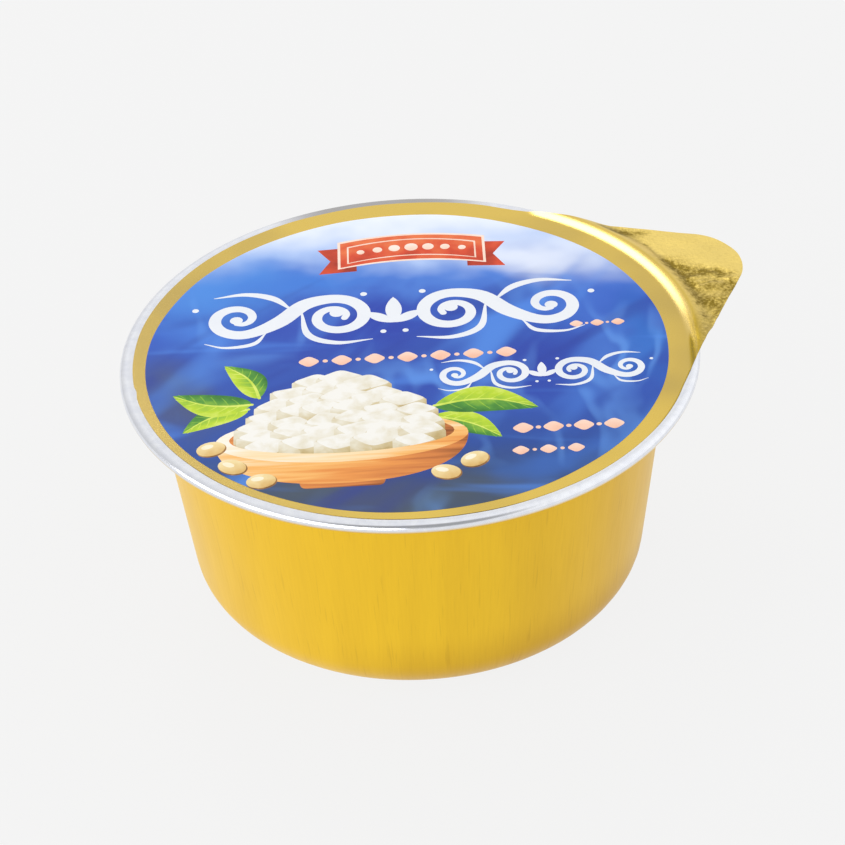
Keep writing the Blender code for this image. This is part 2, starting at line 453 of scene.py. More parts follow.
CREASES = (  # start and end along and across the tab's axis, half width, depth, and wear with painted shade; in millimetres
    ((39.4, 14.9), (41.0, 12.4), 1.0, 0.04, 0.80),
    ((40.6, 13.4), (43.2, 10.6), 1.6, 0.02, 0.30),
    ((41.4, 12.6), (44.6, 10.6), 0.5, 0.03, 0.50),
    ((41.4, 12.4), (42.8, 8.0), 0.5, 0.05, 0.26),
    ((42.9, 8.0), (43.0, 4.0), 0.38, 0.03, 0.46),
    ((43.6, 2.9), (43.7, -2.4), 0.85, 0.06, 0.62),
    ((43.5, -2.6), (43.2, -6.4), 0.8, 0.06, 0.32),
    ((42.7, -8.6), (43.4, -11.0), 1.1, 0.08, 0.66),
    ((44.8, 1.4), (45.9, -2.0), 1.4, 0.03, 0.34),
    ((44.6, -2.6), (46.8, -2.8), 0.6, 0.05, 0.36),
    ((46.6, -2.5), (48.5, -3.5), 0.95, 0.08, 0.60),
    ((48.7, -4.0), (50.1, -5.2), 0.9, 0.06, 0.36),
    ((45.2, -6.6), (48.8, -7.4), 0.9, 0.08, 0.34),
    ((47.2, -8.9), (48.3, -9.3), 0.7, 0.06, 0.50),
    ((40.8, -12.2), (41.8, -13.6), 1.0, 0.05, 0.18),
)
RIDGE = Vector((0.906, -0.423, 0.0))  # way the tab's creases run, along and across its axis
RIDGE_ACROSS = Vector((0.423, 0.906, 0.0))
FOLDS = ((0.13, 0.34, 4.0), (0.30, 0.85, 7.3))  # broad and narrow: cycles a millimetre both ways, and a seed
WANDER_CYCLES = 0.55  # of the creases' sideways drift, for each millimetre
WANDER = 0.5
EDGE_STRAY = 0.00010  # how ragged the foil's cut edge is
NOTCH_AZIMUTH = math.radians(190)
NOTCH_HALF = 0.035  # in radians
NOTCH_DEPTH = 0.00025


def lid_outline(sizes):
    """Lid circle and tab tip joined by two flanks, as (radius, angle from the tab's axis)."""
    tip_centre = sizes.tab_reach - sizes.tab_tip_radius
    tangent = math.acos((sizes.lid_radius - sizes.tab_tip_radius) / tip_centre)
    body = arc((0.0, 0.0), sizes.lid_radius, tangent, math.tau - tangent, LID_STEPS)
    tip = arc((tip_centre, 0.0), sizes.tab_tip_radius, -tangent, tangent, TIP_STEPS)
    shares = [1 - math.cos(math.pi / 2 * i / FLANK_STEPS) for i in range(1, FLANK_STEPS)]
    front = [flank_point(body[-1], tip[0], share, FLANK_HOLLOWS[0]) for share in shares]
    back = [flank_point(body[0], tip[-1], share, -FLANK_HOLLOWS[1]) for share in reversed(shares)]
    return [(math.hypot(x, y), math.atan2(y, x)) for x, y in body + front + tip + back]


def flank_point(start, end, share, hollow):
    """Point on a flank that curves to its left by hollow."""
    run = Vector(end) - Vector(start)
    sideways = Vector((-run.y, run.x)).normalized()
    return Vector(start) + run * share + sideways * hollow * 4 * share * (1 - share)


def tab_height(radius, hump, sizes):
    """Height of the tab above the crest of the rim: over a hump on the curl, down behind it and out."""
    rise = hump * smoothstep((radius - HUMP_START) / (HUMP_CREST - HUMP_START))
    slope = min(1.0, max(0.0, (radius - HUMP_CREST) / (VALLEY_RADIUS - HUMP_CREST)))
    fall = (hump + VALLEY_DEPTH) * (FALL_CURVE * smoothstep(slope) + (1 - FALL_CURVE) * slope)
    step = (VALLEY_DEPTH - PLATEAU_DEPTH) * smoothstep((radius - VALLEY_RADIUS) / VALLEY_RUN)
    outward = (radius - PLATEAU_RADIUS) / (sizes.tab_reach - PLATEAU_RADIUS)
    lift = (PLATEAU_DEPTH - TIP_DEPTH) * smoothstep(outward)
    return rise - fall + step + lift


def crease_at(place, start, end, half_width):
    """How much of a crease is at a place, from 0 to 1."""
    run = Vector(end) - Vector(start)
    offset = place.to_2d() - Vector(start)
    share = min(1.0, max(0.0, offset.dot(run) / run.length_squared))
    return math.exp(-(((offset - run * share).length / half_width) ** 2))


def crumple(along, across):
    """Height in millimetres and wear with painted shade, from 0 to 1, of the tab's creases at a place along
    and across it.
    """
    place = Vector((along, across, 0.0))
    slow = place * WANDER_CYCLES
    wander = Vector((noise.noise(slow), noise.noise(slow + Vector((9.0, 2.0, 5.0))), 0.0))
    fold = FOLD_END - FOLD_START
    beyond = (place.to_2d() - FOLD_START).dot(Vector((fold.y, -fold.x)).normalized())
    inside = smoothstep((beyond + 0.5 + 1.2 * wander.x) / 1.8)
    broad, narrow = (
        abs(noise.noise(Vector((place.dot(RIDGE) * lengthways, place.dot(RIDGE_ACROSS) * crossways, seed))))
        for lengthways, crossways, seed in FOLDS
    )
    fine = noise.fractal(place * 1.1, 0.9, 2.1, 3)
    height = 0.07 * noise.noise(place * 0.3) + 0.012 * fine
    height += inside * (0.34 * broad + 0.18 * narrow + 0.06 * fine - 0.12)
    mottled = 0.35 * noise.noise(place * 0.45) + 0.4 * noise.noise(place * 1.5)
    # The wear here is partly painted shade in the crumples.
    wear_and_shade = inside * (0.38 + 0.22 * smoothstep(1 - narrow / 0.14) + mottled)
    for start, end, half_width, depth, worn_and_shaded in CREASES:
        share = crease_at(place + WANDER * wander, start, end, half_width)
        height -= depth * share
        wear_and_shade += worn_and_shaded * share
    wear_and_shade += 0.10 * max(0.0, noise.noise(place * 0.6 + Vector((3.0, 1.0, 0.0))))
    return height, min(1.0, max(0.0, wear_and_shade))


def pinch_at(radius, turned):
    """How much of the pinched crease is at a radius and an angle from +X, from 0 to 1."""
    share = (turned - PINCH_AZIMUTHS[0]) / (PINCH_AZIMUTHS[1] - PINCH_AZIMUTHS[0])
    middle = PINCH_RADII[0] + (PINCH_RADII[1] - PINCH_RADII[0]) * share ** 2 * (share > 0)
    width = PINCH_WIDTHS[0] + (PINCH_WIDTHS[1] - PINCH_WIDTHS[0]) * max(0.0, share)
    ends = smoothstep((share + 0.1) / 0.4) * smoothstep((1.3 - share) / 0.3)
    return ends * math.exp(-(((radius - middle) / width) ** 2))


def lid_top(radius, direction, angle, reach, sizes):
    """Height of the foil's top and its wear with painted shade at a radius and an angle from the tab's axis,
    where the outline is at reach; direction is the angle from +X."""
    turned = (direction + math.pi) % math.tau - math.pi
    onset = smoothstep((reach - sizes.lid_radius) / HUMP_ONSET)
    risen = smoothstep((turned - HUMP_RISE[0]) / HUMP_RISE[1])
    hump = HUMP_HEIGHT * (1 - FRONT_LOWERING * (1 - risen))
    height = sizes.height + onset * tab_height(radius, hump, sizes)
    place = Vector((radius * math.cos(direction) + sizes.lid_offset, radius * math.sin(direction))) / MM
    inside = sizes.print_radius / MM - SINK_MARGIN - (place - PRINT_CENTRE).length
    height -= PRINT_SINK * smoothstep(inside / SINK_RUN)
    # The pinched crease is lowered a little and darkened with painted shade.
    pinch = pinch_at(radius, turned)
    height -= PINCH_DEPTH * pinch
    # Painted shadow along the foil's cut edge on the lid's right side.
    edge = smoothstep((turned - EDGE_AZIMUTHS[0]) / EDGE_FADES[0])
    edge *= smoothstep((EDGE_AZIMUTHS[1] - turned) / EDGE_FADES[1])
    edge *= smoothstep((radius - reach + EDGE_WIDTH) / EDGE_WIDTH)
    # Painted shade: the crest's front end is darkened as well as roughened, so that it shows no glint.
    front_end = onset * (1 - smoothstep((turned - DULL_AZIMUTHS[0]) / (DULL_AZIMUTHS[1] - DULL_AZIMUTHS[0])))
    dulled_and_shaded, on_crest = (
        wear_and_shade * front_end * smoothstep((radius - start) / run)
        for start, run, wear_and_shade in zip(DULL_START, DULL_RUN, DULL_SHADE)
    )
    # Darkening from the pinch, the cut edge and the crest's front end: painted shade and a painted shadow.
    marked = max(pinch, EDGE_SHADOW * edge, dulled_and_shaded)
    on_tab = max(on_crest, smoothstep((radius - CRUMPLE_START) / CRUMPLE_RUN))
    if on_tab == 0.0:
        return height, marked
    crease, wear_and_shade = crumple(radius * math.cos(angle) / MM, radius * math.sin(angle) / MM)
    return height + on_tab * MM * crease, max(marked, on_tab * wear_and_shade)


def make_lid(sizes, colours):
    """Foil disc with its pull tab, closed as a thin sheet."""
    solid = bmesh.new()
    # Wear and painted shade of each vertex: darker creases, pinch, crest front end and cut edge.
    worn_and_shaded = solid.verts.layers.float.new("wear_and_shade")
    columns = []
    for reach, angle in lid_outline(sizes):
        direction = angle + sizes.tab_azimuth
        if reach < sizes.lid_radius + 1e-6:
            spot = Vector((math.cos(direction) * 5, math.sin(direction) * 5, 1.7))
            reach += EDGE_STRAY * noise.noise(spot)
            reach -= NOTCH_DEPTH * smoothstep(1 - abs(direction % math.tau - NOTCH_AZIMUTH) / NOTCH_HALF)
        radii = [r * MM for r in LID_RINGS]
        inner = radii[-1]
        shares = ((i / OUTER_RINGS) ** RING_CROWDING for i in range(1, OUTER_RINGS + 1))
        radii += [inner + (reach - inner) * share for share in shares]
        column = []
        for r in radii:
            z, wear_and_shade = lid_top(r, direction, angle, reach, sizes)
            vert = solid.verts.new((r * math.cos(direction) + sizes.lid_offset, r * math.sin(direction), z))
            vert[worn_and_shaded] = wear_and_shade
            column.append(vert)
        columns.append(column)
    middle = solid.verts.new((sizes.lid_offset, 0.0, sizes.height - PRINT_SINK))
    for here, after in zip(columns, columns[1:] + columns[:1]):
        solid.faces.new((middle, here[0], after[0]))
        for i in range(len(here) - 1):
            solid.faces.new((here[i], here[i + 1], after[i + 1], after[i]))
    close_sheet(solid, sizes.foil_thickness)
    return add_piece("foil_lid", solid, [gold_foil(sizes, colours)], ("lid",))


# Print: flat patches laid out in millimetres from the print's middle, x to the right and y to the back.
# Later patches lie over earlier ones, and all are cut into one flat sheet.

PRINT_CENTRE = Vector((-0.38, -1.0))
PRINT_THICKNESS = 0.00002
CUT_TOLERANCE = 1e-5
FINEST_STROKE = 0.06
FIELD, SCROLLS, LOZENGES, RIBBON, LEAVES, BOWL, TOFU, BEANS = range(8)
UP = (0.0, 1.0)


class Patch:
    """Outline in one ink of one piece, with tones that run from start to end along a direction."""

    def __init__(self, piece, ink, outline, start=0.0, end=0.0, along=UP):
        outline = [Vector(point[:2]) for point in outline]
        area = sum(a.cross(b) for a, b in zip(outline, outline[1:] + outline[:1]))
        self.outline = outline if area > 0 else outline[::-1]
        self.piece = piece
        self.ink = ink
        self.along = Vector(along).normalized()
        places = [point.dot(self.along) for point in self.outline]
        self.low = min(places)
        self.rise = (end - start) / max(1e-6, max(places) - self.low)
        self.start = start

    def tone(self, point):
        return self.start + self.rise * (point.dot(self.along) - self.low)


def spline(points, steps=10):
    """Smooth open curve through points of any dimension."""
    points = [Vector(p) for p in points]
    padded = [2 * points[0] - points[1], *points, 2 * points[-1] - points[-2]]
    curve = []
    for a, b, c, d in zip(padded, padded[1:], padded[2:], padded[3:]):
        for i in range(steps):
            t = i / steps
            bend = t * t * (2 * a - 5 * b + 4 * c - d) + t ** 3 * (3 * b - a - 3 * c + d)
            curve.append(0.5 * (2 * b + t * (c - a) + bend))
    return curve + [points[-1]]


def brush(piece, ink, points, steps=10, tone=0.0):
    """Patches of a brush stroke through (x, y, width) points, with round ends."""
    line = spline(points, steps)
    edges = []
    for i, point in enumerate(line):
        along = (line[min(i + 1, len(line) - 1)] - line[max(i - 1, 0)]).to_2d().normalized()
        side = Vector((-along.y, along.x)) * max(FINEST_STROKE, point.z) / 2
        edges.append((point.to_2d() + side, point.to_2d() - side))
    pieces = [(a[0], a[1], b[1], b[0]) for a, b in zip(edges, edges[1:])]
    for end in (line[0], line[-1]):
        radius = max(FINEST_STROKE, end.z) / 2
        pieces.append(ellipse(end.x, end.y, radius, radius, steps=14))
    return [Patch(piece, ink, outline, tone, tone) for outline in pieces]


def ellipse(x, y, radius_x, radius_y, tilt=0.0, start=0.0, end=math.tau, steps=40):
    turn = Matrix.Rotation(tilt, 2)
    count = steps + (1 if end - start < math.tau - 1e-6 else 0)
    angles = [start + (end - start) * i / steps for i in range(count)]
    return [Vector((x, y)) + turn @ Vector((radius_x * math.cos(a), radius_y * math.sin(a))) for a in angles]


def rounded(corners, radius, steps=4):
    """Polygon with its corners rounded off."""
    outline = []
    corners = [Vector(c) for c in corners]
    for before, here, after in zip(corners[-1:] + corners[:-1], corners, corners[1:] + corners[:1]):
        cut = min(radius, (before - here).length / 2.2, (after - here).length / 2.2)
        start = here + (before - here).normalized() * cut
        end = here + (after - here).normalized() * cut
        for i in range(steps + 1):
            t = i / steps
            outline.append((1 - t) ** 2 * start + 2 * t * (1 - t) * here + t * t * end)
    return outline


def cut_print(patches):
    """Cuts the patches into triangles of one sheet: every triangle belongs to the last patch over it."""
    places, rings = [], []
    for patch in patches:
        rings.append(list(range(len(places), len(places) + len(patch.outline))))
        places += patch.outline
    places, _, triangles, _, _, owners = delaunay_2d_cdt(places, [], rings, 1, CUT_TOLERANCE, True)
    return places, [(corners, patches[max(over)]) for corners, over in zip(triangles, owners) if over]


def add_print(name, number, sheet, inks):
    """One piece of the cut sheet, with the tone of its patches on every corner."""
    places, triangles = sheet
    solid = bmesh.new()
    tones = solid.loops.layers.float.new("tone")
    verts = {}
    for corners, patch in triangles:
        if patch.piece != number:
            continue
        for i in corners:
            if i not in verts:
                x, y = (PRINT_CENTRE + places[i]) * MM
                verts[i] = solid.verts.new((x, y, CUP_HIGH.z + PRINT_THICKNESS))
        face = solid.faces.new([verts[i] for i in corners])
        face.material_index = patch.ink
        for loop, i in zip(face.loops, corners):
            loop[tones] = patch.tone(places[i])
    close_sheet(solid, PRINT_THICKNESS)
    return add_piece(name, solid, inks, smooth_angle=math.radians(20))


def print_place(tree):
    """Place on the print in millimetres from its middle."""
    place = in_millimetres(tree)
    shift = (PRINT_CENTRE.x, PRINT_CENTRE.y, 0.0)
    moved = add_node(tree, "VectorMath", {0: place, 1: shift}, operation="SUBTRACT")
    return add_node(tree, "VectorMath", {0: moved, 1: (1.0, 1.0, 0.0)}, operation="MULTIPLY")


def toned_ink(name, stops, cloud=0.25, cycles=(0.3, 0.3), detail=3.0):
    """Ink printed over foil, whose colour follows the tone of each patch, with a soft cloud of so much tone
    and so many cycles a millimetre."""
    material, tree, shader = new_material(name, Roughness=0.42, Specular_IOR_Level=0.12)
    node = partial(add_node, tree)
    place = print_place(tree)
    drawn = node("Attribute", output="Fac", attribute_name="tone")
    scaled = node("VectorMath", {0: place, 1: (*cycles, 1.0)}, operation="MULTIPLY")
    drift = node("TexNoise", {"Vector": scaled, "Scale": 1.0, "Detail": detail, "Distortion": 0.3})
    drift = {"Value": drift, "From Min": 0.3, "From Max": 0.7, "To Min": -cloud, "To Max": cloud}
    drift = node("MapRange", drift)
    tone = node("Math", {0: drawn, 1: drift}, operation="ADD")
    colour = node("ValToRGB", {0: tone}, "Color", stops=stops)
    connect(tree, shader, {"Base Color": colour})
    return material


# Field

FIELD_STEPS = 600
FIELD_RAGGED = 0.16
FIELD_TONES = (  # tones from back to front: pale haze, blue, slate
    (0.0, "E6EAF1"), (0.07, "D2DBEC"), (0.15, "A2B9E4"), (0.24, "4572C6"), (0.36, "3059B6"),
    (0.5, "2C4BA2"), (0.66, "2B4FA6"), (0.80, "27478F"), (0.91, "304772"), (1.0, "424D58"),
)
FIELD_SPOTS = (  # x, y, radius across, radius deep, tilt, colour, strength
    (-25, 17, 12, 13, -0.75, "4583D2", 0.95),
    (-15, 20, 12, 5, 0.25, "3C74CA", 0.95),
    (-9, 9, 22, 9, 0.05, "24379C", 0.85),
    (15, -6, 20, 10, 0.1, "233A9C", 0.8),
    (19, 25, 17, 7, -0.42, "DDE3EF", 0.85),
    (34, 2, 4, 12, 0.15, "2A62B6", 0.95),
    (24, 12, 7, 9, 0.6, "3F6CC4", 0.6),
    (-5, -33, 26, 6, 0.0, "444E58", 0.95),
    (-32, -7, 7, 12, 0.3, "454F6C", 0.85),
    (21, -27, 12, 5, 0.5, "3767BA", 0.6),
)
DRAPES = (  # angle, cycles a millimetre along and across, where it starts and is full, colour, strength
    (-0.95, (0.018, 0.085, 1.0), 0.50, 0.70, "5089DC", 0.75),
    (0.12, (0.03, 0.13, 1.0), 0.52, 0.72, "4A80D6", 0.55),
    (-0.7, (0.022, 0.10, 1.0), 0.47, 0.30, "22348C", 0.6),
)


def field_ink():
    """Blue printed satin: a pale haze at the back, slate at the front, and soft lit folds between."""
    material, tree, shader = new_material("printed_blue_satin_ink", Roughness=0.42, Specular_IOR_Level=0.12)
    node = partial(add_node, tree)
    place = print_place(tree)
    drift = node("TexNoise", {"Vector": place, "Scale": 0.06, "Detail": 3.0, "Roughness": 0.55})
    drift = node("Math", {0: drift, 1: 0.5}, operation="SUBTRACT")
    depth = node("SeparateXYZ", {0: place}, "Y")
    depth = node("Math", {0: drift, 1: 20.0, 2: depth}, operation="MULTIPLY_ADD")
    tone = node("MapRange", {"Value": depth, "From Min": 38.0, "From Max": -38.0})
    colour = node("ValToRGB", {0: tone}, "Color", stops=FIELD_TONES)
    warp = node("TexNoise", {"Vector": place, "Scale": 0.09, "Detail": 2.0}, "Color")
    warp = node("VectorMath", {0: warp, 1: (-0.5, -0.5, -0.5)}, operation="ADD")
    warp = node("VectorMath", {0: warp, 1: (14.0, 14.0, 0.0)}, operation="MULTIPLY")
    bent = node("VectorMath", {0: place, 1: warp}, operation="ADD")
    for x, y, radius_x, radius_y, tilt, hue, strength in FIELD_SPOTS:
        moved = node("VectorMath", {0: bent, 1: (x, y, 0.0)}, operation="SUBTRACT")
        turned = node("VectorRotate", {0: moved, "Angle": -tilt}, rotation_type="Z_AXIS")
        sized = node("VectorMath", {0: turned, 1: (1 / radius_x, 1 / radius_y, 1.0)}, operation="MULTIPLY")
        away = node("VectorMath", {0: sized}, "Value", operation="LENGTH")
        fading = {"Value": away, "From Min": 1.25, "From Max": 0.1, "To Max": strength}
        spot = node("MapRange", fading, interpolation_type="SMOOTHSTEP")
        colour = node("Mix", {0: spot, 6: colour, 7: linear(hue)}, 2, data_type="RGBA")
    clear = node("MapRange", {"Value": tone, "From Min": 0.16, "From Max": 0.34})
    for angle, size, low, high, hue, strength in DRAPES:
        turned = node("VectorRotate", {0: place, "Angle": angle}, rotation_type="Z_AXIS")
        drawn = node("VectorMath", {0: turned, 1: size}, operation="MULTIPLY")
        drape = node("TexNoise", {"Vector": drawn, "Scale": 1.0, "Detail": 2.0, "Distortion": 0.6})
        amount = {"Value": drape, "From Min": low, "From Max": high, "To Max": strength}
        amount = node("MapRange", amount, interpolation_type="SMOOTHSTEP")
        amount = node("Math", {0: amount, 1: clear}, operation="MULTIPLY")
        colour = node("Mix", {0: amount, 6: colour, 7: linear(hue)}, 2, data_type="RGBA")
    upright = node("VectorMath", {0: place, 1: (1.0, 0.45, 1.0)}, operation="MULTIPLY")
    folds = node("TexNoise", {"Vector": upright, "Scale": 0.07, "Detail": 2.0, "Distortion": 0.7})
    folds = node("Math", {0: folds, 1: 0.5}, operation="SUBTRACT")
    folds = node("Math", {0: folds}, operation="ABSOLUTE")
    lit = {"Value": folds, "From Min": 0.07, "From Max": 0.0}
    lit = node("MapRange", lit, interpolation_type="SMOOTHERSTEP")
    broken = node("TexNoise", {"Vector": place, "Scale": 0.05, "Detail": 1.0})
    broken = node("MapRange", {"Value": broken, "From Min": 0.45, "From Max": 0.65, "To Max": 0.4})
    lit = node("Math", {0: lit, 1: broken}, operation="MULTIPLY")
    lit = node("Math", {0: lit, 1: clear}, operation="MULTIPLY")
    colour = node("Mix", {0: lit, 6: colour, 7: linear("68A0E8")}, 2, data_type="RGBA")
    connect(tree, shader, {"Base Color": colour})
    return material


def field_patches(sizes):
    outline = []
    for i in range(FIELD_STEPS):
        angle = math.tau * i / FIELD_STEPS
        spoke = Vector((math.cos(angle), math.sin(angle)))
        ragged = FIELD_RAGGED * noise.noise(Vector((*spoke * 3, 5.2)))
        outline.append(spoke * (sizes.print_radius / MM + ragged))
    return [Patch(FIELD, 0, outline)]


# Flourishes: mirrored scrolls with tendrils, either side of a three-petalled bud

SCROLL_BODY = ((13.0, 3.5, 2.6), (16.4, -0.4, 2.7))  # between the two curls of a scroll, each (x, y, width)
SCROLL_CURLS = (  # x, y, first and last angle, first and last radius, first and last width
    (8.4, 0.0, 560, 80, 1.3, 4.8, 1.0, 2.2),
    (22.6, 0.6, 232, 640, 4.4, 1.2, 2.2, 0.9),
)
TENDRILS = (
    ((15.0, 2.6, 0.3), (17.6, 5.6, 1.2), (21.6, 7.0, 0.9), (26.2, 6.4, 0.15)),
    ((13.4, 1.4, 0.3), (12.4, -4.4, 1.1), (8.4, -6.7, 0.9), (3.2, -6.2, 0.15)),
    ((18.6, -3.4, 0.2), (20.4, -6.0, 0.8), (24.4, -6.6, 0.5), (27.4, -5.4, 0.12)),
)
BALLS = (  # x, y, radius
    (8.3, 1.0, 1.05), (22.9, 0.3, 0.95), (28.9, 3.4, 0.5), (4.3, 5.6, 0.5), (1.6, -4.4, 0.45),
)
PETALS = ((0.0, 0.0, 2.4, 6.6), (0.95, 0.0, 1.9, 5.0), (-0.95, 0.0, 1.9, 5.0))  # tilt, x, width, length
FLOURISHES = ((-1.6, 10.6, 1.0), (19.0, -6.0, 0.54))  # x, y, size


def curl_points(x, y, start, end, first_radius, last_radius, first_width, last_width):
    """Points of a curl that winds in or out, ten to each turn."""
    steps = round(abs(end - start) / 36)
    points = []
    for i in range(steps + 1):
        share = i / steps
        angle = math.radians(start + (end - start) * share)
        radius = first_radius + (last_radius - first_radius) * share
        width = first_width + (last_width - first_width) * share
        points.append((x + radius * math.cos(angle), y + radius * math.sin(angle), width))
    return points


def flourish_patches(x, y, size):
    """Two mirrored scrolls with their tendrils and balls, and the bud between them."""
    inner, outer = (curl_points(*curl) for curl in SCROLL_CURLS)
    patches = []
    for side in (-1, 1):
        place = lambda points: [(x + side * size * a, y + size * b, size * width) for a, b, width in points]
        for tendril in TENDRILS:
            patches += brush(SCROLLS, 0, place(tendril), 8)
        patches += brush(SCROLLS, 0, place((*inner, *SCROLL_BODY, *outer)), 6)
        for a, b, radius in place(BALLS):
            patches.append(Patch(SCROLLS, 0, ellipse(a, b, radius, radius, steps=18)))
    for tilt, shift, width, length in PETALS:
        turn = Matrix.Rotation(-tilt, 2)
        edge = [(width / 2 * math.sin(math.pi * t) ** 0.8, length * t) for t in (i / 12 for i in range(13))]
        petal = edge + [(-a, b) for a, b in reversed(edge[1:-1])]
        foot = Vector((x + size * shift, y - 2.2 * size))
        patches.append(Patch(SCROLLS, 0, [foot + size * (turn @ Vector(point)) for point in petal]))
    return patches


# Lozenges

LOZENGE_ROWS = (  # first x, y, count, pitch, half width
    (-14.0, -0.6, 7, 4.7, 1.75),
    (15.6, -19.4, 4, 4.2, 1.7),
    (15.0, -24.6, 3, 3.8, 1.4),
    (24.6, 5.6, 3, 3.0, 1.15),
)
LOZENGE_SHAPE = 0.85  # height to width
LOZENGE_ROUNDING = 0.45  # of the corners, for each half width
DOT_SHARE = 0.22  # radius of the dots between, for each half width


def lozenge_patches():
    """Rows of lozenges with small dots between them."""
    patches = []
    for x, y, count, pitch, half in LOZENGE_ROWS:
        for i in range(count):
            middle = x + pitch * i
            tall = LOZENGE_SHAPE * half
            corners = ((middle - half, y), (middle, y - tall), (middle + half, y), (middle, y + tall))
            patches.append(Patch(LOZENGES, 0, rounded(corners, LOZENGE_ROUNDING * half), 0.7, 0.1))
            if i < count - 1:
                dot = ellipse(middle + pitch / 2, y, DOT_SHARE * half, DOT_SHARE * half, steps=14)
                patches.append(Patch(LOZENGES, 0, dot, 0.3, 0.3))
    return patches


# Ribbon

RIBBON_X, RIBBON_Y = 1.4, 26.8
RIBBON_HALF = 10.6
RIBBON_HEIGHT = 6.6
RIBBON_ARCH = 1.5
RIBBON_DOT_PITCH = 4.2  # dots to half the band
RIBBON_DOT_SHRINK = 0.14  # for each dot away from the middle
RIBBON_TAIL = ((-2.4, -2.4), (3.2, -2.8), (1.5, 0.6), (3.4, 3.8), (-2.4, 4.2))  # from the band's end


def ribbon_patches():
    """Plain arched ribbon with folded tails and a row of dots."""
    steps = [i / 16 for i in range(-16, 17)]

    def band(grow):
        half, tall = RIBBON_HALF + grow, RIBBON_HEIGHT / 2 + grow
        middle = [(RIBBON_X + half * t, RIBBON_Y + RIBBON_ARCH * (1 - t * t)) for t in steps]
        return [(x, y - tall) for x, y in middle] + [(x, y + tall) for x, y in reversed(middle)]

    patches = []
    for side in (-1, 1):
        tail = [(RIBBON_X + side * (RIBBON_HALF + a), RIBBON_Y + b - 2.0) for a, b in RIBBON_TAIL]
        patches.append(Patch(RIBBON, 0, tail, 0.9, 0.55, (side, 0.0)))
    patches.append(Patch(RIBBON, 1, band(0.4), 0.2, 0.2))
    patches.append(Patch(RIBBON, 0, band(0.0), 0.5, 0.0))
    patches.append(Patch(RIBBON, 1, band(-1.0), 0.4, 0.4))
    patches.append(Patch(RIBBON, 0, band(-1.25), 0.6, 0.1))
    for i in range(-3, 4):
        t = i / RIBBON_DOT_PITCH
        size = 1.0 - RIBBON_DOT_SHRINK * abs(i)
        x, y = RIBBON_X + RIBBON_HALF * t, RIBBON_Y + RIBBON_ARCH * (1 - t * t)
        patches.append(Patch(RIBBON, 1, ellipse(x, y, size, size, steps=24), 0.5, 0.0))
    return patches


# Bowl of tofu

BOWL_X, BOWL_Y = -9.5, -19.5
BOWL_HALF = 17.5
BOWL_DEPTH = 5.6
BOWL_HEIGHT = 10.5
BOWL_WALL = 1.9
FOOT_HALF = 6.2


def bowl_edge(shrink, start, end):
    """Part of the bowl's rim, shrunk towards its middle."""
    across, deep = BOWL_HALF - shrink, BOWL_DEPTH - 0.8 * shrink
    return ellipse(BOWL_X, BOWL_Y + 0.3 * shrink, across, deep, start=start, end=end, steps=48)


def bowl_patches():
    """Foot, far rim and inside of the bowl."""
    foot = [(-FOOT_HALF, 2.0), (FOOT_HALF, 2.0), (FOOT_HALF - 0.6, -0.9), (-FOOT_HALF + 0.6, -0.9)]
    foot = rounded([(BOWL_X + x, BOWL_Y - BOWL_HEIGHT + y) for x, y in foot], 0.8)
    return [
        Patch(BOWL, 0, foot, 0.7, 1.0, (0.6, -1.0)),
        Patch(BOWL, 0, bowl_edge(0.0, 0.0, math.tau), 0.0, 0.42, (1.0, -0.1)),
        Patch(BOWL, 0, bowl_edge(BOWL_WALL, 0.0, math.tau), 0.75, 0.98, (1.0, 0.3)),
    ]


def bowl_front_patches():
    """Side and near lip of the bowl, over the foot of the heap."""
    side = []
    for i in range(49):
        t = math.pi * i / 48
        across = math.copysign(abs(math.cos(t)) ** 0.86, -math.cos(t))
        side.append((BOWL_X + BOWL_HALF * across, BOWL_Y - BOWL_HEIGHT * math.sin(t) ** 0.9))
    side += bowl_edge(0.0, math.pi, math.tau)[1:-1][::-1]
    lip = bowl_edge(0.0, math.pi, math.tau) + bowl_edge(BOWL_WALL, math.pi, math.tau)[::-1]
    return [
        Patch(BOWL, 0, side, 0.24, 0.84, (1.0, -0.5)),
        Patch(BOWL, 0, lip, 0.02, 0.5, (1.0, -0.2)),
    ]


CUBE = 5.0
CUBE_ROUNDING = 0.2
CUBE_DROP = 0.72  # how tall the sides of a cube look
HEAP_ROWS = 7
HEAP_HALF = 14.2
HEAP_TOP = -4.6
HEAP_PITCH = 2.55
HEAP_SAG = 0.45  # how much lower the ends of a row lie, for each row under it
HEAP_FLAT = 0.56  # how deep the top of a cube looks


def cube_patches(x, y, size, yaw):
    """A soft cube seen from above the front: a top and two sides. x, y is the middle of its top."""
    a = Vector((math.cos(yaw), math.sin(yaw) * HEAP_FLAT)) * size / 2
    b = Vector((-math.sin(yaw), math.cos(yaw) * HEAP_FLAT)) * size / 2
    drop = Vector((0.0, -CUBE_DROP * size))
    top = Vector((x, y))
    left, front, right, back = top - a + b, top - a - b, top + a - b, top + a + b
    soft = CUBE_ROUNDING * size
    whole = rounded([left, back, right, right + drop, front + drop, left + drop], soft)
    right_side = rounded([front, right, right + drop, front + drop], soft / 2)
    left_side = rounded([left, front, front + drop, left + drop], soft / 2)
    return [
        Patch(TOFU, 0, whole, 0.8, 0.2),
        Patch(TOFU, 0, right_side, 0.95, 0.45, (-0.25, 1.0)),
        Patch(TOFU, 0, left_side, 0.7, 0.16, (-0.2, 1.0)),
        Patch(TOFU, 0, rounded([left, front, right, back], soft), 0.0, 0.14, (0.6, -1.0)),
    ]


